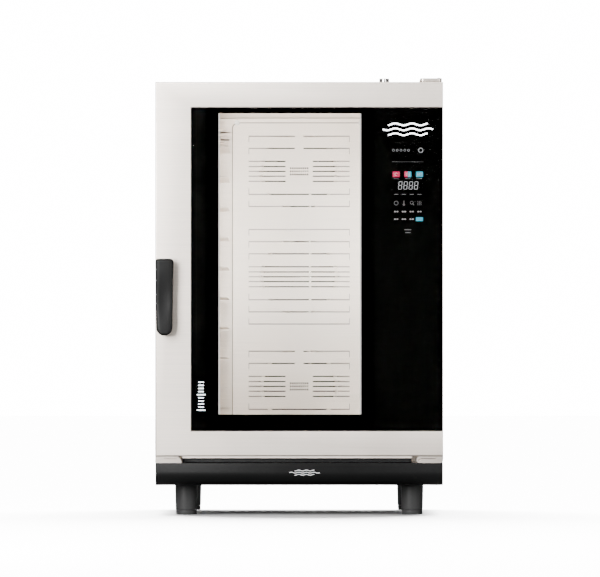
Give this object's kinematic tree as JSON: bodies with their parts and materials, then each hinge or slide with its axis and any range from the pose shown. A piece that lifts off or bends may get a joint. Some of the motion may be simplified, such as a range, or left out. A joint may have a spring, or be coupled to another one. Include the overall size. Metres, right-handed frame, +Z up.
{
  "type": "combi steamer oven",
  "caption": "Free-standing hot-air and steam oven with a glazed full-front door, side lever handle, fan guard, tray racks and levelling feet.",
  "frame": {"origin": "on the floor, in the middle of the overall box", "axes": "+X right seen from the front, +Y from the door to the back, +Z up"},
  "size_m": [0.76, 0.998, 1.191],
  "materials": {
    "stainless_satin": "satin brushed stainless sheet",
    "stainless_bright": "fine rolled stainless sheet",
    "galvanised_sheet": "zinc coated sheet",
    "black_enamel": "smooth black coating",
    "dark_plastic": "fine textured moulding",
    "grey_coated_metal": "dark grey satin coating",
    "drain_plastic": "plain grey pipe",
    "printed_glass": "toughened glass with black back print",
    "clear_glass": "plain toughened glass",
    "silicone": "extruded silicone",
    "mineral_wool": "pressed fibre slab",
    "heater_sheath": "heat tinted tube",
    "fan_steel": "spot welded steel",
    "motor_casting": "die cast housing",
    "light_diffuser": "opal diffuser",
    "circuit_board": "solder masked board",
    "bearing_bronze": "sintered bush",
    "brass_fitting": "machined fitting"
  },
  "bodies": {
    "oven_body": {"baffle_screws": "stainless_bright", "base_frame": "galvanised_sheet", "cable_gland": "dark_plastic", "cavity_liner": "stainless_bright", "cooling_fan_housing": "dark_plastic", "door_gasket": "silicone", "drain_pipe": "drain_plastic", "drain_strainer": "stainless_bright", "exhaust_chimney": "stainless_bright", "exhaust_duct": "galvanised_sheet", "fan_baffle": "stainless_bright", "fan_motor_high": "motor_casting", "fan_motor_low": "motor_casting", "fan_motor_mid": "motor_casting", "foot_pads": "dark_plastic", "foot_sleeves": "grey_coated_metal", "front_frame": "stainless_satin", "heating_element_high": "heater_sheath", "heating_element_low": "heater_sheath", "heating_element_mid": "heater_sheath", "hinge_bracket_top": "stainless_satin", "hinge_plate_bottom": "stainless_satin", "inlet_plate": "stainless_bright", "insulation_wool": "mineral_wool", "motor_plate": "galvanised_sheet", "plinth_panel": "black_enamel", "power_board": "circuit_board", "rack_pins": "stainless_bright", "rear_panel": "galvanised_sheet", "side_panel_left": "stainless_satin", "side_panel_right": "stainless_satin", "steam_injector": "stainless_bright", "support_plate": "stainless_satin", "temperature_probe": "stainless_bright", "terminal_block": "dark_plastic", "top_panel": "stainless_satin", "water_valve": "brass_fitting"},
    "door": {"door_skin": "stainless_satin", "door_inner_frame": "stainless_bright", "door_outer_glass": "printed_glass", "door_inner_glass": "clear_glass", "led_bars": "light_diffuser", "control_board": "circuit_board", "pane_clips": "stainless_bright", "door_drip_tray": "stainless_satin", "hinge_bushes": "bearing_bronze", "handle_boss": "dark_plastic"},
    "handle": {"handle_lever": "dark_plastic", "latch_shaft": "stainless_bright", "latch_hook": "stainless_bright"},
    "fan_low": {"fan_wheel_low": "fan_steel", "fan_shaft_low": "fan_steel"},
    "fan_mid": {"fan_wheel_mid": "fan_steel", "fan_shaft_mid": "fan_steel"},
    "fan_high": {"fan_wheel_high": "fan_steel", "fan_shaft_high": "fan_steel"},
    "cooler": {"cooling_fan_rotor": "dark_plastic"},
    "flap": {"exhaust_flap": "stainless_bright"},
    "rack_left": {"tray_rack_left": "stainless_bright"},
    "rack_right": {"tray_rack_right": "stainless_bright"}
  },
  "joints": [
    {"name": "door_hinge", "type": "hinge", "parent": "oven_body", "child": "door", "pos_m": [0.364, -0.418, 0.65], "axis": [0, 0, 1], "range_deg": [0, 125]},
    {"name": "handle_turn", "type": "hinge", "parent": "door", "child": "handle", "pos_m": [-0.35525, -0.46, 0.6506], "axis": [0, -1, 0], "range_deg": [0, 60]},
    {"name": "rack_left_lift", "type": "slide", "parent": "oven_body", "child": "rack_left", "axis": [0, 0, 1], "range_m": [0, 0.012]},
    {"name": "rack_right_lift", "type": "slide", "parent": "oven_body", "child": "rack_right", "axis": [0, 0, 1], "range_m": [0, 0.012]},
    {"name": "flap_turn", "type": "hinge", "parent": "oven_body", "child": "flap", "pos_m": [0.235, 0.401, 1.169], "axis": [1, 0, 0], "range_deg": [0, 90]},
    {"name": "cooler_spin", "type": "hinge", "parent": "oven_body", "child": "cooler", "pos_m": [0.305, 0.445, 0.3], "axis": [0, 1, 0], "continuous": true},
    {"name": "fan_low_spin", "type": "hinge", "parent": "oven_body", "child": "fan_low", "pos_m": [0, 0.29, 0.3412], "axis": [0, 1, 0], "continuous": true},
    {"name": "fan_mid_spin", "type": "hinge", "parent": "oven_body", "child": "fan_mid", "pos_m": [0, 0.29, 0.6405], "axis": [0, 1, 0], "continuous": true},
    {"name": "fan_high_spin", "type": "hinge", "parent": "oven_body", "child": "fan_high", "pos_m": [0, 0.29, 0.9285], "axis": [0, 1, 0], "continuous": true}
  ]
}
